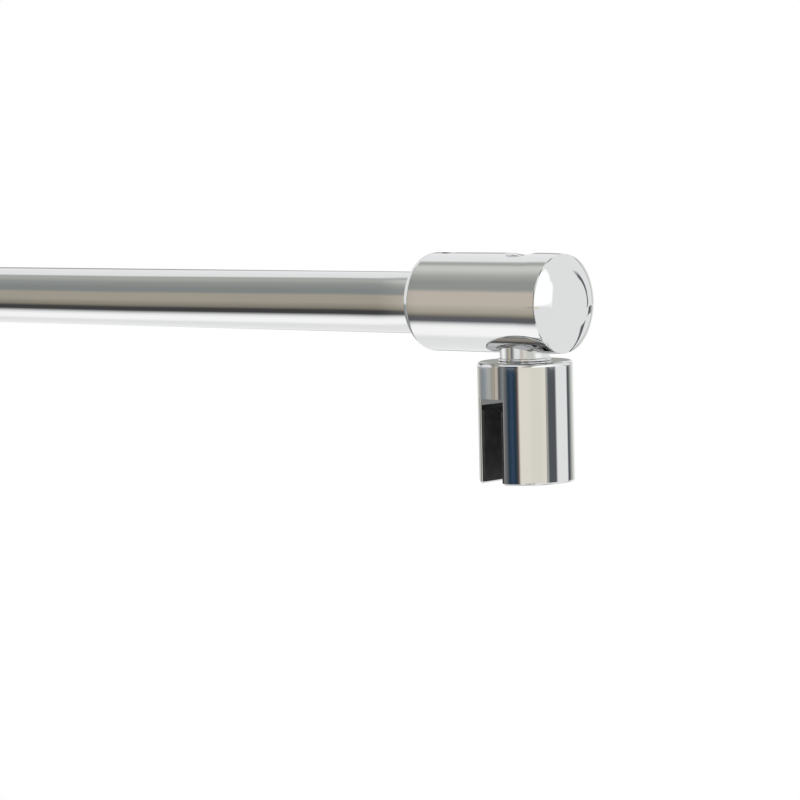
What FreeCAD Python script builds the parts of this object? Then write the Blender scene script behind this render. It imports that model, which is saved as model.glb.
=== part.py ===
"""Support bar for a fixed shower screen.

A round tube runs from a wall socket to an end socket, and a glass clamp swivels under the end socket.
Millimetres. Origin in the middle of the wall base's back face, +X along the bar towards the glass, +Z up.
"""
import FreeCAD
import Part

import math
import os

Vector = FreeCAD.Vector

# Bar
WALL_TO_SWIVEL = 400.0
TUBE_DIAMETER = 19.0
TUBE_WALL = 1.2
TUBE_END_GAP = 0.5

# End socket, measured along the bar from the swivel axis
SOCKET_DIAMETER = 30.0
SOCKET_BEHIND = 36.0
SOCKET_AHEAD = 15.1
BORE_PLAY = 0.5
BORE_END_WEB = 2.0
MOUTH_ROUND = 3.0
MOUTH_CHAMFER = 0.4
CROWN_LENGTH = 8.0
CROWN_DROP = 0.25
DOME_BORDER = 6.25
DOME_BORDER_RADIUS = 10.9
DOME_CENTRE_RADIUS = 290.0
DOME_FLAT_RADIUS = 1.5
DOME_RIM_ROUND = 0.4

# Grub screws: each sinks a little below the face it is driven from
GRUB_DIAMETER = 5.0
GRUB_HEX = 2.5
GRUB_FROM_MOUTH = 7.9
BASE_GRUB_DIAMETER = 4.0
BASE_GRUB_HEX = 2.0
GRUB_HEX_DEPTH = 2.0
GRUB_CHAMFER = 0.35
TUBE_SCREW_SINK = 1.95
CLAMP_SCREW_SINK = 0.4
BASE_SCREW_SINK = 0.8
HOLE_EDGE_ROUND = 0.1

# Pivot screw in the top of the end socket
PIVOT_DIAMETER = 5.0
PIVOT_GRIP = 6.5
PIVOT_HEAD_DIAMETER = 8.5
PIVOT_HEAD_HEIGHT = 5.0
PIVOT_HEAD_ROUND = 0.5
PIVOT_HEX = 4.0
PIVOT_HEX_DEPTH = 2.5
PIVOT_HEAD_SINK = 1.2
PIVOT_HOLE_PLAY = 0.3
COUNTERBORE_PLAY = 0.6
COUNTERBORE_EDGE_ROUND = 0.6
WASHER_THICKNESS = 0.8

# Swivel post
POST_DIAMETER = 15.0
POST_INSIDE = 5.0
POST_RING_LIP = 0.4
POST_RING_HEIGHT = 0.9
POST_RING_ROUND = 0.3
STEM_DIAMETER = 10.0
STEM_COVER = 3.3
SWIVEL_PLAY = 0.05

# Glass clamp, its slot measured across the glass from the swivel axis
CLAMP_DIAMETER = 28.6
CLAMP_GAP = 2.2
CLAMP_HEIGHT = 36.3
CLAMP_CROWN = 10.75
CLAMP_TOP_ROUND = 1.2
CLAMP_FOOT_ROUND = 0.7
SLOT_FRONT = 2.2
SLOT_REAR = 8.0
SLOT_EDGE_ROUND = 0.4
PAD_THICKNESS = 1.0
PAD_BELOW_CEILING = 3.55
PAD_ABOVE_FOOT = 0.5
PAD_SIDE_MARGIN = 0.4
PAD_EDGE_ROUND = 0.3
PLATE_THICKNESS = 1.5
PLATE_SIDE_PLAY = 0.3
PLATE_MARGIN = 2.0
SLIDE_PLAY = 0.05
CLAMP_SCREW_SPACING = 9.0

# Wall end
WALL_SOCKET_LENGTH = 34.0
WALL_SOCKET_LIFT = 0.2
WALL_WEB = 3.4
BASE_DIAMETER = 22.0
BASE_THICKNESS = 7.0
BASE_PLAY = 0.05
BASE_EDGE_CHAMFER = 0.3
WALL_SCREW_DIAMETER = 5.2
WALL_SCREW_HEAD = 10.4

# Clearances shared by several pieces
THREAD_PLAY = 0.05
THREAD_RUNOUT = 1.0
SEAT_GAP = 0.02

# How far a cutter runs past a face, and how near an edge must lie to be picked
OVERCUT = 1.0
PICK = 0.01

# Sizes that follow from the ones above
TUBE_RADIUS = TUBE_DIAMETER / 2
BORE_RADIUS = TUBE_RADIUS + BORE_PLAY
TUBE_DROP = BORE_PLAY - SEAT_GAP
TUBE_SCREW_TIP_Z = TUBE_RADIUS - TUBE_DROP + SEAT_GAP
SOCKET_RADIUS = SOCKET_DIAMETER / 2
POST_RADIUS = POST_DIAMETER / 2
SOCKET_MOUTH_X = WALL_TO_SWIVEL - SOCKET_BEHIND
SOCKET_GRUB_X = SOCKET_MOUTH_X + GRUB_FROM_MOUTH
SOCKET_BORE_END_X = WALL_TO_SWIVEL - POST_RADIUS - BORE_END_WEB
CLAMP_RADIUS = CLAMP_DIAMETER / 2
CLAMP_TOP_Z = -SOCKET_RADIUS - CLAMP_GAP
CLAMP_FOOT_Z = CLAMP_TOP_Z - CLAMP_HEIGHT
SLOT_CEILING_Z = CLAMP_TOP_Z - CLAMP_CROWN
STEM_FOOT_Z = SLOT_CEILING_Z + STEM_COVER
PAD_TOP_Z = SLOT_CEILING_Z - PAD_BELOW_CEILING
PAD_FOOT_Z = CLAMP_FOOT_Z + PAD_ABOVE_FOOT
SLOT_FRONT_X = WALL_TO_SWIVEL + SLOT_FRONT
SLOT_REAR_X = WALL_TO_SWIVEL - SLOT_REAR
PLATE_TOP_Z = PAD_TOP_Z - PLATE_MARGIN
PLATE_FOOT_Z = PAD_FOOT_Z + PLATE_MARGIN
PLATE_FACE_X = SLOT_REAR_X + SLIDE_PLAY
PLATE_BACK_X = PLATE_FACE_X - PLATE_THICKNESS
POCKET_FLOOR_X = PLATE_BACK_X - SLIDE_PLAY
POST_TOP_Z = POST_INSIDE - SOCKET_RADIUS
PIVOT_HEAD_TOP_Z = SOCKET_RADIUS - PIVOT_HEAD_SINK
PIVOT_HEAD_FOOT_Z = PIVOT_HEAD_TOP_Z - PIVOT_HEAD_HEIGHT
PIVOT_FOOT_Z = POST_TOP_Z - PIVOT_GRIP
COUNTERBORE_RADIUS = PIVOT_HEAD_DIAMETER / 2 + COUNTERBORE_PLAY
COUNTERBORE_FLOOR_Z = PIVOT_HEAD_FOOT_Z - WASHER_THICKNESS - SWIVEL_PLAY
PIVOT_HOLE_RADIUS = PIVOT_DIAMETER / 2 + PIVOT_HOLE_PLAY
BASE_RADIUS = BASE_DIAMETER / 2
BASE_SCREW_X = BASE_THICKNESS / 2
WALL_BORE_START_X = BASE_THICKNESS + WALL_WEB
WALL_GRUB_X = WALL_SOCKET_LENGTH - GRUB_FROM_MOUTH
TUBE_START_X = WALL_BORE_START_X + TUBE_END_GAP
TUBE_END_X = SOCKET_BORE_END_X - TUBE_END_GAP

ALONG = Vector(1, 0, 0)
ACROSS = Vector(0, 1, 0)
UP = Vector(0, 0, 1)


def line(start, end):
    return Part.LineSegment(Vector(*start), Vector(*end)).toShape()


def arc(start, middle, end):
    return Part.Arc(Vector(*start), Vector(*middle), Vector(*end)).toShape()


def quarter_round(centre, radius, first_angle):
    """Quarter arc in the XZ plane, swept clockwise from first_angle in degrees."""
    points = []
    for step in (0, 45, 90):
        angle = math.radians(first_angle - step)
        points.append((centre[0] + radius * math.cos(angle), 0, centre[1] + radius * math.sin(angle)))
    return arc(*points)


def arc_radius(length, rise):
    """Radius of an arc that leaves its tangent by rise over the given length."""
    return (length ** 2 + rise ** 2) / (2 * rise)


def rise_at(radius, length):
    """How far an arc has left its tangent at the given length."""
    return radius - math.sqrt(radius ** 2 - length ** 2)


def turned(edges, axis):
    """Solid of revolution from a closed outline in the XZ plane, about an axis through the origin.

    A last quarter turn puts its seam line on the far side, clear of every hole.
    """
    solid = Part.Face(Part.Wire(edges)).revolve(Vector(0, 0, 0), axis, 360)
    quarter = 90 if axis == UP else -90
    return solid.rotated(Vector(0, 0, 0), axis, quarter)


def rod_x(radius, start_x, end_x, z=0.0):
    return Part.makeCylinder(radius, end_x - start_x, Vector(start_x, 0, z), ALONG)


def rod_z(radius, low_z, high_z, x):
    return Part.makeCylinder(radius, high_z - low_z, Vector(x, 0, low_z), UP)


def block(x_range, half_width, z_range):
    corner = Vector(x_range[0], -half_width, z_range[0])
    return Part.makeBox(x_range[1] - x_range[0], 2 * half_width, z_range[1] - z_range[0], corner)


def hexagon(across_flats, depth, foot, axis):
    """Hexagonal prism standing on foot and running along axis."""
    corner_radius = across_flats / math.sqrt(3)
    other = axis.cross(ACROSS)
    corners = []
    for index in range(7):
        angle = math.radians(60 * index)
        corners.append(foot + (ACROSS * math.cos(angle) + other * math.sin(angle)) * corner_radius)
    return Part.Face(Part.makePolygon(corners)).extrude(axis * depth)


def round_edges(shape):
    """Full-circle edges of a shape, without the poles of its domes."""
    closed = [edge for edge in shape.Edges if edge.isClosed() and not edge.Degenerated]
    return [edge for edge in closed if isinstance(edge.Curve, Part.Circle)]


def drilled_edge(body, x):
    """Edge where the hole drilled at x opens on the top or the bottom line of a socket."""
    chosen = []
    for edge in body.Edges:
        box = edge.BoundBox
        reaches_outside = max(box.ZMax, -box.ZMin) > SOCKET_RADIUS - PICK
        round_the_hole = box.XLength > PICK and abs(box.Center.x - x) < PICK
        if edge.isClosed() and round_the_hole and reaches_outside:
            chosen.append(edge)
    return chosen


def grub_screw(diameter, length, hex_size, tip, axis):
    """Headless screw with its tip at the given point and a hexagon socket at its outer end."""
    body = Part.makeCylinder(diameter / 2 - THREAD_PLAY, length, tip, axis)
    body = body.makeChamfer(GRUB_CHAMFER, round_edges(body))
    socket_foot = tip + axis * (length - GRUB_HEX_DEPTH)
    return body.cut(hexagon(hex_size, GRUB_HEX_DEPTH + OVERCUT, socket_foot, axis))


def sloped_arc(start, radius, first_slope, last_slope):
    """Arc in the XZ plane between two slopes, taken from the Z direction, and the point where it ends."""
    points = []
    for slope in (first_slope, (first_slope + last_slope) / 2, last_slope):
        x = start[0] + radius * (math.cos(slope) - math.cos(first_slope))
        z = start[2] + radius * (math.sin(slope) - math.sin(first_slope))
        points.append((x, 0, z))
    return arc(*points), points[-1]


def socket_outline():
    """Half outline of the end socket: rounded mouth, slight crown at the far end, pillow-shaped end face.

    The end face is nearly flat about a small flat in its middle, and bends down to the rim over its border.
    """
    mouth = -SOCKET_BEHIND
    crown_start = SOCKET_AHEAD - CROWN_LENGTH
    crown_radius = arc_radius(CROWN_LENGTH, CROWN_DROP)
    crown_sag = rise_at(crown_radius, CROWN_LENGTH / 2)
    crown_middle = (crown_start + CROWN_LENGTH / 2, 0, SOCKET_RADIUS - crown_sag)
    rim_radius = SOCKET_RADIUS - CROWN_DROP
    rim = (SOCKET_AHEAD, 0, rim_radius)
    centre_width = rim_radius - DOME_BORDER - DOME_FLAT_RADIUS
    centre_slope = math.asin(centre_width / DOME_CENTRE_RADIUS)
    rim_slope = math.asin(DOME_BORDER / DOME_BORDER_RADIUS + math.sin(centre_slope))
    border_arc, border_end = sloped_arc(rim, DOME_BORDER_RADIUS, rim_slope, centre_slope)
    centre_arc, flat_edge = sloped_arc(border_end, DOME_CENTRE_RADIUS, centre_slope, 0.0)
    flat_middle = (flat_edge[0], 0, 0)
    return [
        line((mouth, 0, 0), (mouth, 0, SOCKET_RADIUS - MOUTH_ROUND)),
        quarter_round((mouth + MOUTH_ROUND, SOCKET_RADIUS - MOUTH_ROUND), MOUTH_ROUND, 180),
        line((mouth + MOUTH_ROUND, 0, SOCKET_RADIUS), (crown_start, 0, SOCKET_RADIUS)),
        arc((crown_start, 0, SOCKET_RADIUS), crown_middle, rim),
        border_arc,
        centre_arc,
        line(flat_edge, flat_middle),
        line(flat_middle, (mouth, 0, 0)),
    ]


def mouth_bore(depth):
    """Tube bore with its mouth at the origin, running back along -X, with a small chamfer at the mouth."""
    bore = rod_x(BORE_RADIUS, -depth, OVERCUT)
    flare_length = MOUTH_CHAMFER + OVERCUT
    flare_foot = Vector(-MOUTH_CHAMFER, 0, 0)
    flare = Part.makeCone(BORE_RADIUS, BORE_RADIUS + flare_length, flare_length, flare_foot, ALONG)
    return bore.fuse(flare)


def end_socket():
    body = turned(socket_outline(), ALONG)
    rim = [edge for edge in round_edges(body) if abs(edge.Curve.Center.x - SOCKET_AHEAD) < PICK]
    body = body.makeFillet(DOME_RIM_ROUND, rim).translated(Vector(WALL_TO_SWIVEL, 0, 0))
    top = SOCKET_RADIUS + OVERCUT
    body = body.cut(rod_z(GRUB_DIAMETER / 2, 0, top, SOCKET_GRUB_X))
    body = body.makeFillet(HOLE_EDGE_ROUND, drilled_edge(body, SOCKET_GRUB_X))
    body = body.cut(rod_z(COUNTERBORE_RADIUS, COUNTERBORE_FLOOR_Z, top, WALL_TO_SWIVEL))
    body = body.makeFillet(COUNTERBORE_EDGE_ROUND, drilled_edge(body, WALL_TO_SWIVEL))
    bore = mouth_bore(SOCKET_BORE_END_X - SOCKET_MOUTH_X).mirror(Vector(0, 0, 0), ALONG)
    body = body.cut(bore.translated(Vector(SOCKET_MOUTH_X, 0, 0)))
    body = body.cut(rod_z(PIVOT_HOLE_RADIUS, -SOCKET_RADIUS, SOCKET_RADIUS, WALL_TO_SWIVEL))
    bearing_radius = POST_RADIUS + SWIVEL_PLAY
    bearing_foot = -SOCKET_RADIUS - OVERCUT
    return body.cut(rod_z(bearing_radius, bearing_foot, POST_TOP_Z + SWIVEL_PLAY, WALL_TO_SWIVEL))


def bar_tube():
    outer = rod_x(TUBE_RADIUS, TUBE_START_X, TUBE_END_X, -TUBE_DROP)
    inner = rod_x(TUBE_RADIUS - TUBE_WALL, TUBE_START_X - OVERCUT, TUBE_END_X + OVERCUT, -TUBE_DROP)
    return outer.cut(inner)


def tube_screw(x):
    """Grub screw from above that presses the tube down in its socket."""
    length = SOCKET_RADIUS - TUBE_SCREW_SINK - TUBE_SCREW_TIP_Z
    return grub_screw(GRUB_DIAMETER, length, GRUB_HEX, Vector(x, 0, TUBE_SCREW_TIP_Z), UP)


def pivot_screw():
    head = rod_z(PIVOT_HEAD_DIAMETER / 2, PIVOT_HEAD_FOOT_Z, PIVOT_HEAD_TOP_Z, WALL_TO_SWIVEL)
    head_rim = [edge for edge in round_edges(head) if edge.Curve.Center.z > PIVOT_HEAD_TOP_Z - PICK]
    head = head.makeFillet(PIVOT_HEAD_ROUND, head_rim)
    shank = rod_z(PIVOT_DIAMETER / 2 - THREAD_PLAY, PIVOT_FOOT_Z, PIVOT_HEAD_FOOT_Z, WALL_TO_SWIVEL)
    socket_foot = Vector(WALL_TO_SWIVEL, 0, PIVOT_HEAD_TOP_Z - PIVOT_HEX_DEPTH)
    socket = hexagon(PIVOT_HEX, PIVOT_HEX_DEPTH + OVERCUT, socket_foot, UP)
    return head.fuse(shank).cut(socket).removeSplitter()


def pivot_washer():
    top = COUNTERBORE_FLOOR_Z + WASHER_THICKNESS
    disc = rod_z(PIVOT_HEAD_DIAMETER / 2, COUNTERBORE_FLOOR_Z, top, WALL_TO_SWIVEL)
    return disc.cut(rod_z(PIVOT_HOLE_RADIUS, COUNTERBORE_FLOOR_Z, top, WALL_TO_SWIVEL))


def swivel_post():
    """Turned post: bearing in the end socket, ring that sits on the clamp, threaded stem below it."""
    barrel = rod_z(POST_RADIUS, CLAMP_TOP_Z, POST_TOP_Z, WALL_TO_SWIVEL)
    ring = rod_z(POST_RADIUS + POST_RING_LIP, CLAMP_TOP_Z, CLAMP_TOP_Z + POST_RING_HEIGHT, WALL_TO_SWIVEL)
    ring = ring.makeFillet(POST_RING_ROUND, round_edges(ring))
    stem = rod_z(STEM_DIAMETER / 2 - THREAD_PLAY, STEM_FOOT_Z, CLAMP_TOP_Z, WALL_TO_SWIVEL)
    thread = rod_z(PIVOT_DIAMETER / 2, PIVOT_FOOT_Z - THREAD_RUNOUT, POST_TOP_Z, WALL_TO_SWIVEL)
    return barrel.fuse(ring).fuse(stem).cut(thread).removeSplitter()


def clamp_blank():
    """Solid clamp cylinder with rounded rims, standing on the swivel axis."""
    top = CLAMP_TOP_Z
    foot = CLAMP_FOOT_Z
    radius = CLAMP_RADIUS
    outline = [
        line((0, 0, foot), (0, 0, top)),
        line((0, 0, top), (radius - CLAMP_TOP_ROUND, 0, top)),
        quarter_round((radius - CLAMP_TOP_ROUND, top - CLAMP_TOP_ROUND), CLAMP_TOP_ROUND, 90),
        line((radius, 0, top - CLAMP_TOP_ROUND), (radius, 0, foot + CLAMP_FOOT_ROUND)),
        quarter_round((radius - CLAMP_FOOT_ROUND, foot + CLAMP_FOOT_ROUND), CLAMP_FOOT_ROUND, 0),
        line((radius - CLAMP_FOOT_ROUND, 0, foot), (0, 0, foot)),
    ]
    return turned(outline, UP).translated(Vector(WALL_TO_SWIVEL, 0, 0))


def half_chord(offset):
    """Half width of the clamp's round section at a distance from its axis."""
    return math.sqrt(CLAMP_RADIUS ** 2 - offset ** 2)


def pocket_half_width():
    return half_chord(SLOT_REAR) - PAD_SIDE_MARGIN - PLATE_MARGIN


def clamp_screw_heights():
    middle = (PLATE_TOP_Z + PLATE_FOOT_Z) / 2
    return middle + CLAMP_SCREW_SPACING / 2, middle - CLAMP_SCREW_SPACING / 2


def slot_side_edges(body):
    """Upright edges where the faces of the glass slot meet the round of the clamp."""
    chosen = []
    for edge in body.Edges:
        box = edge.BoundBox
        on_face = min(abs(box.Center.x - SLOT_REAR_X), abs(box.Center.x - SLOT_FRONT_X)) < PICK
        if on_face and box.XLength < PICK and box.YLength < PICK:
            chosen.append(edge)
    return chosen


def clamp_body():
    """Clamp cylinder with the glass slot cut up into it, between a front and a rear jaw."""
    jaws = rod_z(CLAMP_RADIUS, CLAMP_FOOT_Z, SLOT_CEILING_Z, WALL_TO_SWIVEL)
    slot = block((SLOT_REAR_X, SLOT_FRONT_X), CLAMP_DIAMETER, (CLAMP_FOOT_Z - OVERCUT, SLOT_CEILING_Z))
    jaws = jaws.cut(slot)
    jaws = jaws.makeFillet(SLOT_EDGE_ROUND, slot_side_edges(jaws))
    crown = rod_z(CLAMP_RADIUS, SLOT_CEILING_Z, CLAMP_TOP_Z, WALL_TO_SWIVEL)
    body = jaws.fuse(crown).common(clamp_blank()).removeSplitter()
    pocket_depth = (POCKET_FLOOR_X, SLOT_REAR_X + OVERCUT)
    body = body.cut(block(pocket_depth, pocket_half_width(), (PLATE_FOOT_Z, PLATE_TOP_Z)))
    for height in clamp_screw_heights():
        outside = WALL_TO_SWIVEL - CLAMP_RADIUS - OVERCUT
        body = body.cut(rod_x(GRUB_DIAMETER / 2, outside, POCKET_FLOOR_X + OVERCUT, height))
    stem_hole_foot = STEM_FOOT_Z - THREAD_RUNOUT
    return body.cut(rod_z(STEM_DIAMETER / 2, stem_hole_foot, CLAMP_TOP_Z + OVERCUT, WALL_TO_SWIVEL))


def clamp_pad(back_x, face_x, slot_offset):
    """Soft pad on one face of the glass slot."""
    width = half_chord(slot_offset) - PAD_SIDE_MARGIN
    pad = block((back_x, face_x), width, (PAD_FOOT_Z, PAD_TOP_Z))
    return pad.makeFillet(PAD_EDGE_ROUND, pad.Edges)


def front_pad():
    return clamp_pad(SLOT_FRONT_X - PAD_THICKNESS, SLOT_FRONT_X, SLOT_FRONT)


def rear_pad():
    return clamp_pad(PLATE_FACE_X, PLATE_FACE_X + PAD_THICKNESS, SLOT_REAR)


def pressure_plate():
    width = pocket_half_width() - PLATE_SIDE_PLAY
    heights = (PLATE_FOOT_Z + PLATE_SIDE_PLAY, PLATE_TOP_Z - PLATE_SIDE_PLAY)
    return block((PLATE_BACK_X, PLATE_FACE_X), width, heights)


def clamp_screws():
    length = PLATE_BACK_X - (WALL_TO_SWIVEL - CLAMP_RADIUS) - CLAMP_SCREW_SINK
    screws = []
    for height in clamp_screw_heights():
        screws.append(grub_screw(GRUB_DIAMETER, length, GRUB_HEX, Vector(PLATE_BACK_X, 0, height), -ALONG))
    return Part.makeCompound(screws)


def wall_base():
    """Disc fixed to the wall by one countersunk screw."""
    disc = rod_x(BASE_RADIUS, 0, BASE_THICKNESS)
    disc = disc.makeChamfer(BASE_EDGE_CHAMFER, round_edges(disc))
    sink_depth = (WALL_SCREW_HEAD - WALL_SCREW_DIAMETER) / 2
    sink_foot = Vector(BASE_THICKNESS - sink_depth, 0, 0)
    sink = Part.makeCone(WALL_SCREW_DIAMETER / 2, WALL_SCREW_HEAD / 2, sink_depth, sink_foot, ALONG)
    return disc.cut(rod_x(WALL_SCREW_DIAMETER / 2, -OVERCUT, BASE_THICKNESS)).cut(sink)


def wall_socket():
    """Plain cup in the manner of the end socket: tube bore in front, recess over the wall base behind."""
    start = WALL_SOCKET_LIFT
    mouth = WALL_SOCKET_LENGTH
    shoulder = SOCKET_RADIUS - MOUTH_ROUND
    outline = [
        line((start, 0, 0), (start, 0, SOCKET_RADIUS)),
        line((start, 0, SOCKET_RADIUS), (mouth - MOUTH_ROUND, 0, SOCKET_RADIUS)),
        quarter_round((mouth - MOUTH_ROUND, shoulder), MOUTH_ROUND, 90),
        line((mouth, 0, shoulder), (mouth, 0, 0)),
        line((mouth, 0, 0), (start, 0, 0)),
    ]
    body = turned(outline, ALONG)
    body = body.cut(rod_z(GRUB_DIAMETER / 2, 0, SOCKET_RADIUS + OVERCUT, WALL_GRUB_X))
    body = body.cut(rod_z(BASE_GRUB_DIAMETER / 2, -SOCKET_RADIUS - OVERCUT, 0, BASE_SCREW_X))
    for hole_x in (WALL_GRUB_X, BASE_SCREW_X):
        body = body.makeFillet(HOLE_EDGE_ROUND, drilled_edge(body, hole_x))
    body = body.cut(rod_x(BASE_RADIUS + BASE_PLAY, -OVERCUT, BASE_THICKNESS + BASE_PLAY))
    return body.cut(mouth_bore(mouth - WALL_BORE_START_X).translated(Vector(mouth, 0, 0)))


def base_screw():
    """Grub screw from below that locks the wall socket on the base."""
    tip_depth = BASE_RADIUS + SEAT_GAP
    length = SOCKET_RADIUS - BASE_SCREW_SINK - tip_depth
    return grub_screw(BASE_GRUB_DIAMETER, length, BASE_GRUB_HEX, Vector(BASE_SCREW_X, 0, -tip_depth), -UP)


PIECES = {
    "bar_tube": bar_tube,
    "end_socket": end_socket,
    "tube_screw": lambda: tube_screw(SOCKET_GRUB_X),
    "pivot_screw": pivot_screw,
    "pivot_washer": pivot_washer,
    "swivel_post": swivel_post,
    "clamp_body": clamp_body,
    "front_pad": front_pad,
    "rear_pad": rear_pad,
    "pressure_plate": pressure_plate,
    "clamp_screws": clamp_screws,
    "wall_base": wall_base,
    "wall_socket": wall_socket,
    "wall_tube_screw": lambda: tube_screw(WALL_GRUB_X),
    "wall_base_screw": base_screw,
}

os.makedirs("parts", exist_ok=True)
for name, build in PIECES.items():
    shape = build()
    shape.exportStep("parts/" + name + ".step")
    print(name, len(shape.Solids), round(shape.Volume, 1), shape.isValid())
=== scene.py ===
"""Looks of the shower screen support bar: polished chrome on a white sweep, seen from the front right."""

import math

import bpy
from mathutils import Matrix, Vector


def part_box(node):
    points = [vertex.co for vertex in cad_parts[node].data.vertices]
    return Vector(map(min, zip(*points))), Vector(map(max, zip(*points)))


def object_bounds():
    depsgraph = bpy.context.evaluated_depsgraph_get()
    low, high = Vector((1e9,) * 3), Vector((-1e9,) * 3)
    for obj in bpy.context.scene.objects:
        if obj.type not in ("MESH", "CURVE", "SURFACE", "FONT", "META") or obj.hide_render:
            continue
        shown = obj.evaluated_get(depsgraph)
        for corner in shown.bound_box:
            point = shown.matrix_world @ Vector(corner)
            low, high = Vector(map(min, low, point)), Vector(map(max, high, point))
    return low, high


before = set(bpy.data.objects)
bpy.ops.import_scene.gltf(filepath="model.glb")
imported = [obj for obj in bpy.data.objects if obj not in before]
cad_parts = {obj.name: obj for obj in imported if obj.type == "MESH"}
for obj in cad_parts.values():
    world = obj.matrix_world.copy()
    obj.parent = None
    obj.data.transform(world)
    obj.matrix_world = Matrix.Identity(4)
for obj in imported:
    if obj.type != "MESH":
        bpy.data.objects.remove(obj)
cad_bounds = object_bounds()

FULL_TURN = 360.0
HALF_TURN = 180.0
QUARTER_TURN = 90.0

# Camera, fitted to the photograph's 800 by 800 frame
CAMERA_PLACE = (0.98267, -0.74239, 0.04896)
CAMERA_AZIMUTH = 40.414
CAMERA_ELEVATION = 4.678
CAMERA_ROLL = -1.376
FOCAL_PIXELS = 3157.8
FRAME_PIXELS = 800
SENSOR_MM = 36.0

# Floor: how far it lies under the bar, its width, and how much light it gives back
FLOOR_DROP = 0.30
FLOOR_SIZE = 8.0
FLOOR_PALE = 0.90

# Card beyond the end of the bar, placed from the end face and from the bar's axis
CARD_BEYOND = 0.096
CARD_ASIDE = 0.0116
CARD_DROP = 0.0105
CARD_WIDTH = 0.060
CARD_HEIGHT = 0.007

# Corners of a sheet, as shares of its two sides from its middle
SHEET_CORNERS = ((-0.5, -0.5), (0.5, -0.5), (0.5, 0.5), (-0.5, 0.5))

# Tones of the studio that the polished metal reflects
SOFTBOX = (1.39, 1.39, 1.39)
WHITE = (1.24, 1.24, 1.22)
PALE = (1.00, 1.00, 1.00)
SILVER = (0.75, 0.77, 0.72)
ASH = (0.50, 0.51, 0.48)
SLATE = (0.38, 0.39, 0.37)
SMOKE = (0.30, 0.32, 0.31)
DARK = (0.15, 0.15, 0.16)
COAL = (0.11, 0.12, 0.13)
BLACK = (0.07, 0.07, 0.07)
NAVY = (0.02, 0.05, 0.08)
COBALT = (0.05, 0.08, 0.14)
LAVENDER = (0.33, 0.37, 0.42)
CREAM = (0.97, 0.92, 0.82)
STRAW = (0.91, 0.88, 0.78)
TAN = (0.67, 0.60, 0.52)
OLIVE = (0.47, 0.43, 0.36)
UMBER = (0.30, 0.27, 0.22)
RUST = (0.24, 0.17, 0.15)

# Bearing towards the camera in degrees, from which the room's bearings are counted
CAMERA_BEARING = 38.13

# Edges of the room's panels. A fade goes from nothing at its first value to full at its second one.
# The others are ranges: low end, high end, softness of both. Bearings, heights and angles about the
# bar are in degrees, and a reach is a ray's share along the bar.
CEILING_FADE = (25, 32)
GROUND_FADE = (-37, -41)
BEAM_ANGLES = (10, 26, 3.0)
BACK_FADE = (-88, -94)
BACK_HEIGHTS = (-2.9, 60, 0.9)
OVER_BELT_FADE = (-4.1, -4.0)
UNDER_BELT_FADE = (-6.4, -6.6)
WALL_BEARINGS = (16, 140, 2.0)
WALL_HEIGHTS = (-46, 46, 3.0)
SOFTBOX_NEAR_FADE = (14, 18)
SOFTBOX_LOW_FADE = (97, 95)
SOFTBOX_HIGH_FADE = (88, 85)
SOFTBOX_HEIGHTS = (-2.8, 40, 1.0)
FLAG_BEARINGS = (108.5, 114, 0.7)
FLAG_HEIGHTS = (-35, 6, 3.0)
STRIP_REACH = (-0.775, -0.495, 0.025)
STRIP_OVER_BELT_FADE = (-0.49, -0.56)
FAR_STRIP_FADE = (-0.643, -0.652)
FAR_TURN_FADE = (-0.66, -0.71)
BEYOND_REACH = (0.495, 0.775, 0.025)
BEYOND_ANGLES = (75, 290, 6.0)
EYE_HEIGHTS = (-4.08, -3.6, 0.05)
EYE_GAP_REACH = (-0.74, -0.51, 0.01)

# Degrees of bearing by which a slanted edge moves with each degree of height, the flag's below its bend
SOFTBOX_LOW_LEAN = 1.2
SOFTBOX_HIGH_LEAN = 0.48
FLAG_LEAN = 1.1
FLAG_BEND_HEIGHT = -6.0

# Angle about the bar by which the strips are turned for the far end of the tube
FAR_TURN = -7.0

# Masks that leave only what lies across an axis
UPRIGHT = (1.0, 1.0, 0.0)
ALONG_BAR = (0.0, 1.0, 1.0)

# Painted shade inside a threaded hole: dark, and fading out between two distances from the screw's side
HOLE_SHADE_NEAR = 0.00012
HOLE_SHADE_FAR = 0.00025
HOLE_SHADE_BLACK = (0.03, 0.03, 0.03, 1.0)
HOLE_SHADE_ROUGH = 0.5

# Where most values of a noise lie
NOISE_RANGE = (0.3, 0.7)


def node_tree(block):
    """Empties a material's or the world's node tree and returns it."""
    block.use_nodes = True
    block.node_tree.nodes.clear()
    return block.node_tree


def put(tree, socket, value):
    """Links an output to an input socket, or sets a plain value on it."""
    if isinstance(value, bpy.types.NodeSocket):
        tree.links.new(value, socket)
    else:
        socket.default_value = value


def calculate(tree, operation, *values):
    """One step of arithmetic on outputs and plain values."""
    node = tree.nodes.new("ShaderNodeMath")
    node.operation = operation
    for socket, value in zip(node.inputs, values):
        put(tree, socket, value)
    return node.outputs[0]


def product(tree, first, *others):
    """Product of outputs and plain values."""
    for other in others:
        first = calculate(tree, "MULTIPLY", first, other)
    return first


def spread(tree, value, low, high, new_low=0.0, new_high=1.0):
    """Value moved from one range to another, and held at its ends."""
    node = tree.nodes.new("ShaderNodeMapRange")
    put(tree, node.inputs["Value"], value)
    put(tree, node.inputs["From Min"], low)
    put(tree, node.inputs["From Max"], high)
    put(tree, node.inputs["To Min"], new_low)
    put(tree, node.inputs["To Max"], new_high)
    return node.outputs[0]


def between(tree, value, low, high, soft):
    """One inside a range and zero outside it, with soft ends."""
    rises = spread(tree, value, low - soft, low + soft)
    falls = spread(tree, value, high + soft, high - soft)
    return calculate(tree, "MULTIPLY", rises, falls)


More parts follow.
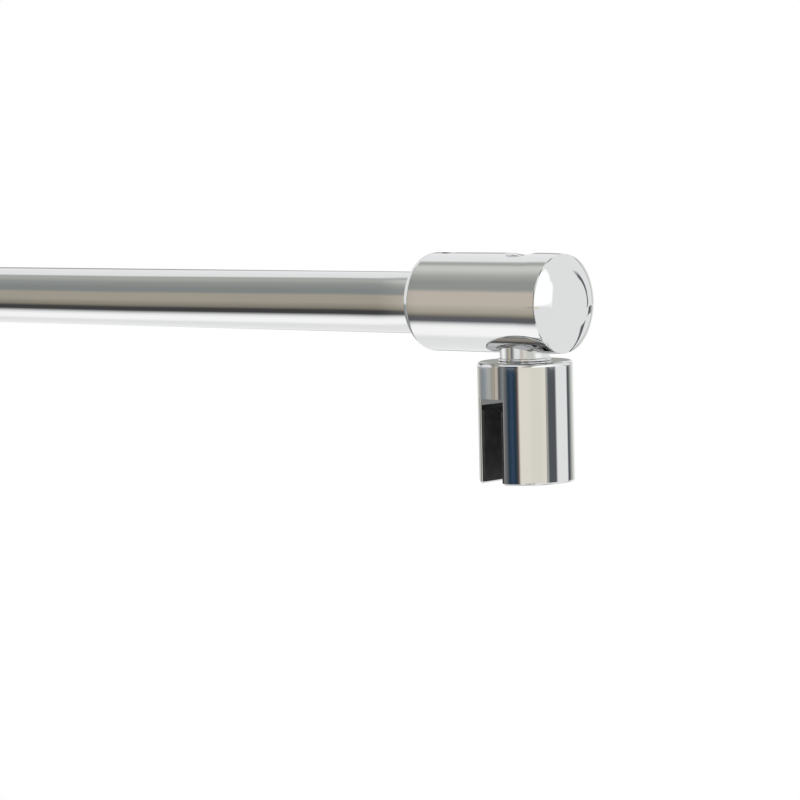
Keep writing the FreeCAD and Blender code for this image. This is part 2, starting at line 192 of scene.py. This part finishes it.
def ramp(tree, value, low, high, stops):
    """Colour ramp over a range, from (place in the range, colour) pairs."""
    node = tree.nodes.new("ShaderNodeValToRGB")
    put(tree, node.inputs[0], spread(tree, value, low, high))
    elements = node.color_ramp.elements
    while len(elements) < len(stops):
        elements.new(0.5)
    for element, (place, colour) in zip(elements, stops):
        element.position = (place - low) / (high - low)
        element.color = (*colour, 1.0)
    return node.outputs["Color"]


def blend_colours(tree, factor, low, high):
    """Colour that goes from low to high as the factor goes from zero to one."""
    node = tree.nodes.new("ShaderNodeMix")
    node.data_type = "RGBA"
    for socket, value in zip((node.inputs[0], node.inputs[6], node.inputs[7]), (factor, low, high)):
        put(tree, socket, value)
    return node.outputs[2]


def directions(tree):
    """Of a ray: share along the bar, angle about the bar, elevation, bearing from the camera's."""
    coordinates = tree.nodes.new("ShaderNodeTexCoord")
    split = tree.nodes.new("ShaderNodeSeparateXYZ")
    put(tree, split.inputs[0], coordinates.outputs["Generated"])
    x, y, z = split.outputs
    about_bar = calculate(tree, "DEGREES", calculate(tree, "ARCTAN2", z, y))
    about_bar = calculate(tree, "WRAP", about_bar, FULL_TURN, 0.0)
    elevation = calculate(tree, "DEGREES", calculate(tree, "ARCSINE", z))
    forward = calculate(tree, "MULTIPLY", y, -1.0)
    bearing = calculate(tree, "DEGREES", calculate(tree, "ARCTAN2", x, forward))
    bearing = calculate(tree, "SUBTRACT", bearing, CAMERA_BEARING)
    return x, about_bar, elevation, calculate(tree, "WRAP", bearing, HALF_TURN, -HALF_TURN)


def low_belt(tree, bearing):
    """Panels and gaps round the room, which the clamp shows as upright stripes."""
    return ramp(tree, bearing, -HALF_TURN, HALF_TURN, [
        (-180, PALE), (-162, SILVER), (-148, ASH), (-134, SMOKE), (-117, LAVENDER), (-104, ASH),
        (-95, ASH), (-83, UMBER), (-73, DARK), (-64, DARK), (-57, SMOKE), (-49, DARK), (-43, NAVY),
        (-34, COBALT), (-27, NAVY), (-22, BLACK), (-19, RUST), (-15, CREAM), (6, CREAM), (13, STRAW),
        (35, STRAW), (48, CREAM), (56, COAL), (75, COAL), (80, PALE), (116, PALE), (120, COAL),
        (127, COAL), (134, SLATE), (147, SILVER), (166, PALE),
    ])


def eye_belt(tree, bearing):
    """Narrow row of panels at eye level, which the neck under the socket shows."""
    return ramp(tree, bearing, -HALF_TURN, HALF_TURN, [
        (-180, PALE), (-150, ASH), (-118, WHITE), (-104, PALE), (-94, ASH), (-78, DARK), (-70, DARK),
        (-58, SMOKE), (-46, PALE), (-27, PALE), (-16, TAN), (-2, STRAW), (14, SILVER), (40, SILVER),
        (55, WHITE), (72, WHITE), (90, PALE),
    ])


def near_strips(tree, about_bar):
    """Long panels beside the bar, as the socket shows them."""
    return ramp(tree, about_bar, 0.0, FULL_TURN, [
        (0, SLATE), (16, SLATE), (26, PALE), (66, PALE), (73, ASH), (79, ASH), (87, SILVER), (97, SILVER),
        (114, ASH), (130, SLATE), (147, SLATE), (156, TAN), (182, TAN), (202, OLIVE), (208, UMBER),
        (213, DARK), (222, DARK), (231, PALE), (238, WHITE), (258, WHITE), (270, PALE), (332, PALE),
        (344, SLATE),
    ])


def far_strips(tree, about_bar):
    """Long panels beside the bar, as the tube shows them."""
    return ramp(tree, about_bar, 0.0, FULL_TURN, [
        (0, SLATE), (16, SLATE), (26, PALE), (72, PALE), (79, ASH), (92, ASH), (107, SLATE), (131, SMOKE),
        (145, SMOKE), (154, OLIVE), (180, OLIVE), (201, UMBER), (211, BLACK), (224, BLACK), (238, PALE),
        (249, WHITE), (265, WHITE), (280, PALE), (332, PALE), (344, SLATE),
    ])


def panel(tree, room, colour, *edges):
    """Puts a panel of one colour in the room, inside all of its edges."""
    return blend_colours(tree, product(tree, *edges), room, (*colour, 1.0))


def outer_panels(tree, room, about_bar, elevation, bearing):
    """Ceiling, ground, dark beams over and under the bar, and the pale back of the room on the left."""
    room = panel(tree, room, PALE, spread(tree, elevation, *CEILING_FADE))
    room = panel(tree, room, PALE, spread(tree, elevation, *GROUND_FADE))
    within_half_turn = calculate(tree, "WRAP", about_bar, HALF_TURN, 0.0)
    from_upright = calculate(tree, "SUBTRACT", within_half_turn, QUARTER_TURN)
    beams = between(tree, calculate(tree, "ABSOLUTE", from_upright), *BEAM_ANGLES)
    room = panel(tree, room, SMOKE, beams)
    back_height = between(tree, elevation, *BACK_HEIGHTS)
    return panel(tree, room, PALE, spread(tree, bearing, *BACK_FADE), back_height)


def slanted(tree, bearing, elevation, lean):
    """Bearing of an edge that leans with the height."""
    return calculate(tree, "ADD", bearing, calculate(tree, "MULTIPLY", elevation, lean))


def wall_panels(tree, room, elevation, bearing, beside_belt):
    """Pale wall on the right, with the softbox on it and a dark flag that leans below its bend."""
    wall_width = between(tree, bearing, *WALL_BEARINGS)
    wall_height = between(tree, elevation, *WALL_HEIGHTS)
    room = panel(tree, room, PALE, wall_width, wall_height, beside_belt)

    low_edge = spread(tree, slanted(tree, bearing, elevation, SOFTBOX_LOW_LEAN), *SOFTBOX_LOW_FADE)
    high_edge = spread(tree, slanted(tree, bearing, elevation, SOFTBOX_HIGH_LEAN), *SOFTBOX_HIGH_FADE)
    far_edge = calculate(tree, "MAXIMUM", low_edge, high_edge)
    near_edge = spread(tree, bearing, *SOFTBOX_NEAR_FADE)
    softbox_height = between(tree, elevation, *SOFTBOX_HEIGHTS)
    room = panel(tree, room, SOFTBOX, near_edge, far_edge, softbox_height)

    below_bend = calculate(tree, "SUBTRACT", elevation, FLAG_BEND_HEIGHT)
    below_bend = calculate(tree, "MINIMUM", below_bend, 0.0)
    flag_width = between(tree, slanted(tree, bearing, below_bend, FLAG_LEAN), *FLAG_BEARINGS)
    flag_height = between(tree, elevation, *FLAG_HEIGHTS)
    return panel(tree, room, DARK, flag_width, flag_height, beside_belt)


def bar_strips(tree, room, along, about_bar, beside_belt):
    """Long strips beside the bar, in the rays that lean to the wall and again in those that lean away."""
    turned_in = spread(tree, along, *FAR_TURN_FADE, new_high=FAR_TURN)
    far = far_strips(tree, calculate(tree, "ADD", about_bar, turned_in))
    strips = blend_colours(tree, spread(tree, along, *FAR_STRIP_FADE), near_strips(tree, about_bar), far)
    over_belt = spread(tree, along, *STRIP_OVER_BELT_FADE)
    clear_of_belt = calculate(tree, "MAXIMUM", beside_belt, over_belt)
    beside_bar = product(tree, between(tree, along, *STRIP_REACH), clear_of_belt)
    room = blend_colours(tree, beside_bar, room, strips)
    beyond_reach = between(tree, along, *BEYOND_REACH)
    beyond_angle = between(tree, about_bar, *BEYOND_ANGLES)
    beyond = product(tree, beyond_reach, beyond_angle, beside_belt)
    return blend_colours(tree, beyond, room, strips)


def room_panels(tree):
    """The room that the polished metal reflects, from the belt round it to the strips beside the bar."""
    along, about_bar, elevation, bearing = directions(tree)
    over_belt = spread(tree, elevation, *OVER_BELT_FADE)
    under_belt = spread(tree, elevation, *UNDER_BELT_FADE)
    beside_belt = calculate(tree, "ADD", over_belt, under_belt)
    room = low_belt(tree, bearing)
    room = outer_panels(tree, room, about_bar, elevation, bearing)
    room = wall_panels(tree, room, elevation, bearing, beside_belt)
    room = bar_strips(tree, room, along, about_bar, beside_belt)
    clear_of_strips = calculate(tree, "SUBTRACT", 1.0, between(tree, along, *EYE_GAP_REACH))
    at_eye = product(tree, between(tree, elevation, *EYE_HEIGHTS), clear_of_strips)
    return blend_colours(tree, at_eye, room, eye_belt(tree, bearing))


def studio_world():
    """White sweep to look at, and round it the panels that the polished metal reflects."""
    world = bpy.data.worlds.new("studio")
    bpy.context.scene.world = world
    tree = node_tree(world)
    path = tree.nodes.new("ShaderNodeLightPath")
    seen = blend_colours(tree, path.outputs["Is Glossy Ray"], (*PALE, 1.0), room_panels(tree))
    background = tree.nodes.new("ShaderNodeBackground")
    put(tree, background.inputs["Color"], seen)
    output = tree.nodes.new("ShaderNodeOutputWorld")
    put(tree, output.inputs["Surface"], background.outputs[0])


def new_material(name):
    """A material with one principled shader, with its node tree, shader and place on the object."""
    material = bpy.data.materials.new(name)
    tree = node_tree(material)
    shader = tree.nodes.new("ShaderNodeBsdfPrincipled")
    output = tree.nodes.new("ShaderNodeOutputMaterial")
    put(tree, output.inputs["Surface"], shader.outputs[0])
    place = tree.nodes.new("ShaderNodeTexCoord").outputs["Object"]
    return material, tree, shader, place


def noise(tree, place, scale, detail, stretch=(1.0, 1.0, 1.0)):
    """Noise with a scale in marks per metre, drawn out along an axis by a smaller stretch."""
    mapping = tree.nodes.new("ShaderNodeMapping")
    put(tree, mapping.inputs["Vector"], place)
    put(tree, mapping.inputs["Scale"], stretch)
    node = tree.nodes.new("ShaderNodeTexNoise")
    put(tree, node.inputs["Vector"], mapping.outputs[0])
    put(tree, node.inputs["Scale"], scale)
    put(tree, node.inputs["Detail"], detail)
    return node.outputs[0]


def tint(tree, shader, pattern, low, high):
    """Base colour that follows a pattern between two colours."""
    put(tree, shader.inputs["Base Color"], blend_colours(tree, pattern, low, high))


def roughen(tree, shader, pattern, smooth, rough):
    """Roughness that follows a noise between two values."""
    put(tree, shader.inputs["Roughness"], spread(tree, pattern, *NOISE_RANGE, smooth, rough))


def bump(tree, shader, height, strength, distance):
    """Raises the surface by a height, at a distance in metres."""
    node = tree.nodes.new("ShaderNodeBump")
    put(tree, node.inputs["Strength"], strength)
    put(tree, node.inputs["Distance"], distance)
    put(tree, node.inputs["Height"], height)
    put(tree, shader.inputs["Normal"], node.outputs[0])


def axis_distance(tree, place, centre, across):
    """Distance from an axis through centre, where across masks the axis out."""
    offset = tree.nodes.new("ShaderNodeVectorMath")
    offset.operation = "SUBTRACT"
    put(tree, offset.inputs[0], place)
    put(tree, offset.inputs[1], centre)
    flat = tree.nodes.new("ShaderNodeVectorMath")
    flat.operation = "MULTIPLY"
    put(tree, flat.inputs[0], offset.outputs[0])
    put(tree, flat.inputs[1], across)
    length = tree.nodes.new("ShaderNodeVectorMath")
    length.operation = "LENGTH"
    put(tree, length.inputs[0], flat.outputs[0])
    return length.outputs["Value"]


def rings(tree, place, centre, across, pitch):
    """Wave of turning marks about an axis."""
    distance = axis_distance(tree, place, centre, across)
    return calculate(tree, "SINE", calculate(tree, "MULTIPLY", distance, 2 * math.pi / pitch))


def screw_axis(name):
    """Middle of a screw and half its width along the bar."""
    low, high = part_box(name)
    return (Vector(low) + Vector(high)) / 2, (high[0] - low[0]) / 2


def painted_hole_shade_mask(tree, place, screw):
    """Mask of the painted shade: one inside the threaded hole of an upright screw above the bar's axis,
    and zero elsewhere.
    """
    middle, radius = screw_axis(screw)
    distance = axis_distance(tree, place, middle, UPRIGHT)
    in_hole = spread(tree, distance, radius + HOLE_SHADE_FAR, radius + HOLE_SHADE_NEAR)
    split = tree.nodes.new("ShaderNodeSeparateXYZ")
    put(tree, split.inputs[0], place)
    return product(tree, in_hole, calculate(tree, "GREATER_THAN", split.outputs["Z"], 0.0))


def chrome(name, screw=None):
    """Polished chrome: a mirror with faint wiping smears, fine hairlines and an uneven polish.

    Where a screw is named, shade is painted inside its threaded hole, dark and rough.
    """
    clear = (0.73, 0.735, 0.74, 1.0)
    smeared = (0.70, 0.705, 0.71, 1.0)
    material, tree, shader, place = new_material(name)
    smear = noise(tree, place, scale=90.0, detail=5.0, stretch=(0.4, 1.0, 1.0))
    hairline = noise(tree, place, scale=2600.0, detail=3.0, stretch=(0.02, 1.0, 1.0))
    shade = blend_colours(tree, smear, clear, smeared)
    wiped = spread(tree, smear, 0.4, 0.75, new_low=0.008, new_high=0.025)
    worn = calculate(tree, "ADD", wiped, product(tree, hairline, 0.01))
    # painted shade: the wall of the threaded hole is darkened and roughened
    if screw:
        hole_shade = painted_hole_shade_mask(tree, place, screw)
        shade = blend_colours(tree, hole_shade, shade, HOLE_SHADE_BLACK)
        worn = calculate(tree, "MAXIMUM", worn, product(tree, hole_shade, HOLE_SHADE_ROUGH))
    put(tree, shader.inputs["Base Color"], shade)
    put(tree, shader.inputs["Roughness"], worn)
    put(tree, shader.inputs["Metallic"], 1.0)
    bump(tree, shader, smear, strength=0.05, distance=0.0001)
    return material


def screw_steel(name, centre, across, bright, dull):
    """Steel with fine turning marks about the screw's axis and a duller film in patches."""
    material, tree, shader, place = new_material(name)
    patch = noise(tree, place, scale=700.0, detail=4.0)
    marks = rings(tree, place, centre, across, pitch=0.00025)
    tint(tree, shader, patch, bright, dull)
    roughen(tree, shader, patch, smooth=0.22, rough=0.38)
    put(tree, shader.inputs["Metallic"], 1.0)
    bump(tree, shader, marks, strength=0.25, distance=0.00002)
    return material


def brushed_steel():
    """Pressed plate, brushed along its length."""
    bright = (0.60, 0.60, 0.61, 1.0)
    dull = (0.48, 0.48, 0.49, 1.0)
    material, tree, shader, place = new_material("brushed_plate")
    brush = noise(tree, place, scale=4000.0, detail=3.0, stretch=(1.0, 0.02, 1.0))
    tint(tree, shader, brush, bright, dull)
    roughen(tree, shader, brush, smooth=0.28, rough=0.42)
    put(tree, shader.inputs["Metallic"], 1.0)
    bump(tree, shader, brush, strength=0.3, distance=0.00002)
    return material


def rubber():
    """Matte black rubber with a moulded grain and a paler bloom in patches."""
    black = (0.022, 0.022, 0.024, 1.0)
    bloomed = (0.05, 0.05, 0.052, 1.0)
    material, tree, shader, place = new_material("pad_rubber")
    grain = noise(tree, place, scale=5200.0, detail=3.0)
    bloom = noise(tree, place, scale=260.0, detail=4.0)
    tint(tree, shader, spread(tree, bloom, 0.45, 0.8), black, bloomed)
    roughen(tree, shader, grain, smooth=0.55, rough=0.8)
    put(tree, shader.inputs["Specular IOR Level"], 0.35)
    bump(tree, shader, grain, strength=0.35, distance=0.00006)
    return material


def brass():
    """Turned brass with feed rings round its axis and a dull film in patches."""
    bright = (0.80, 0.62, 0.33, 1.0)
    dull = (0.66, 0.48, 0.24, 1.0)
    material, tree, shader, place = new_material("turned_brass")
    film = noise(tree, place, scale=320.0, detail=5.0)
    feed = rings(tree, place, centre=(0.0, 0.0, 0.0), across=ALONG_BAR, pitch=0.0004)
    tint(tree, shader, film, bright, dull)
    roughen(tree, shader, film, smooth=0.2, rough=0.42)
    put(tree, shader.inputs["Metallic"], 1.0)
    bump(tree, shader, feed, strength=0.3, distance=0.00003)
    return material


def washer_plastic():
    """Milky plastic with a faint cloudiness and the fine grain of its mould."""
    milky = (0.82, 0.82, 0.80, 1.0)
    cloudy = (0.74, 0.74, 0.71, 1.0)
    material, tree, shader, place = new_material("washer_plastic")
    cloud = noise(tree, place, scale=420.0, detail=4.0)
    grain = noise(tree, place, scale=6000.0, detail=2.0)
    tint(tree, shader, cloud, milky, cloudy)
    roughen(tree, shader, grain, smooth=0.38, rough=0.55)
    bump(tree, shader, grain, strength=0.2, distance=0.00003)
    return material


def dress(material, *nodes):
    """Gives CAD nodes a material."""
    for name in nodes:
        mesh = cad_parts[name].data
        mesh.materials.clear()
        mesh.materials.append(material)


def dress_screw(name, across, bright, dull):
    """Gives a screw steel with marks about its own axis."""
    middle, _ = screw_axis(name)
    dress(screw_steel(name + "_steel", middle, across, bright, dull), name)


def dress_screws():
    """Bright steel on the pivot screw and blackened steel on the grub screws.

    Only the clamp's screws lie along the bar.
    """
    bright = (0.62, 0.62, 0.63, 1.0)
    dull = (0.48, 0.48, 0.49, 1.0)
    black = (0.075, 0.075, 0.08, 1.0)
    worn_black = (0.12, 0.115, 0.11, 1.0)
    dress_screw("pivot_screw", UPRIGHT, bright, dull)
    for name in ("tube_screw", "wall_tube_screw", "wall_base_screw"):
        dress_screw(name, UPRIGHT, black, worn_black)
    dress_screw("clamp_screws", ALONG_BAR, black, worn_black)


def stage_sheet(name, corners, material):
    """Four-cornered sheet of the studio, which isn't part of the bar."""
    mesh = bpy.data.meshes.new(name)
    mesh.from_pydata(corners, [], [(0, 1, 2, 3)])
    mesh.materials.append(material)
    sheet = bpy.data.objects.new(name, mesh)
    bpy.context.scene.collection.objects.link(sheet)
    return sheet


def floor_material():
    """Pale surface that glows a little to the camera, so that the floor shows only as a soft shadow."""
    material = bpy.data.materials.new("floor_pale")
    tree = node_tree(material)
    pale = tree.nodes.new("ShaderNodeBsdfDiffuse")
    put(tree, pale.inputs["Color"], (FLOOR_PALE, FLOOR_PALE, FLOOR_PALE, 1.0))
    glow = tree.nodes.new("ShaderNodeEmission")
    path = tree.nodes.new("ShaderNodeLightPath")
    strength = calculate(tree, "MULTIPLY", path.outputs["Is Camera Ray"], 1.0 - FLOOR_PALE)
    put(tree, glow.inputs["Strength"], strength)
    both = tree.nodes.new("ShaderNodeAddShader")
    put(tree, both.inputs[0], pale.outputs[0])
    put(tree, both.inputs[1], glow.outputs[0])
    output = tree.nodes.new("ShaderNodeOutputMaterial")
    put(tree, output.inputs["Surface"], both.outputs[0])
    return material


def studio_floor():
    """Floor under the bar, which the polished metal doesn't reflect."""
    lowest = cad_bounds[0].z - FLOOR_DROP
    middle = (cad_bounds[0] + cad_bounds[1]) / 2
    corners = []
    for along, across in SHEET_CORNERS:
        corners.append((middle.x + along * FLOOR_SIZE, middle.y + across * FLOOR_SIZE, lowest))
    floor = stage_sheet("floor", corners, floor_material())
    floor.visible_glossy = False


def card_material():
    """Plain pale glow."""
    material = bpy.data.materials.new("card_pale")
    tree = node_tree(material)
    glow = tree.nodes.new("ShaderNodeEmission")
    put(tree, glow.inputs["Color"], (*PALE, 1.0))
    output = tree.nodes.new("ShaderNodeOutputMaterial")
    put(tree, output.inputs["Surface"], glow.outputs[0])
    return material


def end_card():
    """Pale card that only reflections show.

    It hides the belt's dark gap from the end face, and hangs too high for the clamp to show it.
    """
    x = cad_bounds[1].x + CARD_BEYOND
    corners = []
    for across, rise in SHEET_CORNERS:
        corners.append((x, CARD_ASIDE + across * CARD_WIDTH, rise * CARD_HEIGHT - CARD_DROP))
    card = stage_sheet("end_card", corners, card_material())
    card.visible_camera = False
    card.visible_diffuse = False
    card.visible_shadow = False


def photo_camera():
    """Camera at the photograph's place, with its tilt and its focal length."""
    azimuth = math.radians(CAMERA_AZIMUTH)
    elevation = math.radians(CAMERA_ELEVATION)
    roll = math.radians(CAMERA_ROLL)
    level = math.cos(elevation)
    back = Vector((math.sin(azimuth) * level, -math.cos(azimuth) * level, math.sin(elevation)))
    right = Vector((math.cos(azimuth), math.sin(azimuth), 0.0))
    up = back.cross(right)
    rolled_right = math.cos(roll) * right + math.sin(roll) * up
    rolled_up = -math.sin(roll) * right + math.cos(roll) * up
    data = bpy.data.cameras.new("camera")
    data.sensor_width = SENSOR_MM
    data.lens = FOCAL_PIXELS / FRAME_PIXELS * SENSOR_MM
    camera = bpy.data.objects.new("camera", data)
    bpy.context.scene.collection.objects.link(camera)
    turn = Matrix((rolled_right, rolled_up, back)).transposed().to_4x4()
    camera.matrix_world = Matrix.Translation(CAMERA_PLACE) @ turn
    bpy.context.scene.camera = camera


dress(chrome("polished_chrome"), "bar_tube", "swivel_post", "clamp_body")
dress(chrome("end_socket_chrome", "tube_screw"), "end_socket")
dress(chrome("wall_socket_chrome", "wall_tube_screw"), "wall_socket")
dress(rubber(), "front_pad", "rear_pad")
dress(brushed_steel(), "pressure_plate")
dress(brass(), "wall_base")
dress(washer_plastic(), "pivot_washer")
dress_screws()
studio_world()
studio_floor()
end_card()
photo_camera()
bpy.context.scene.view_settings.view_transform = "Standard"
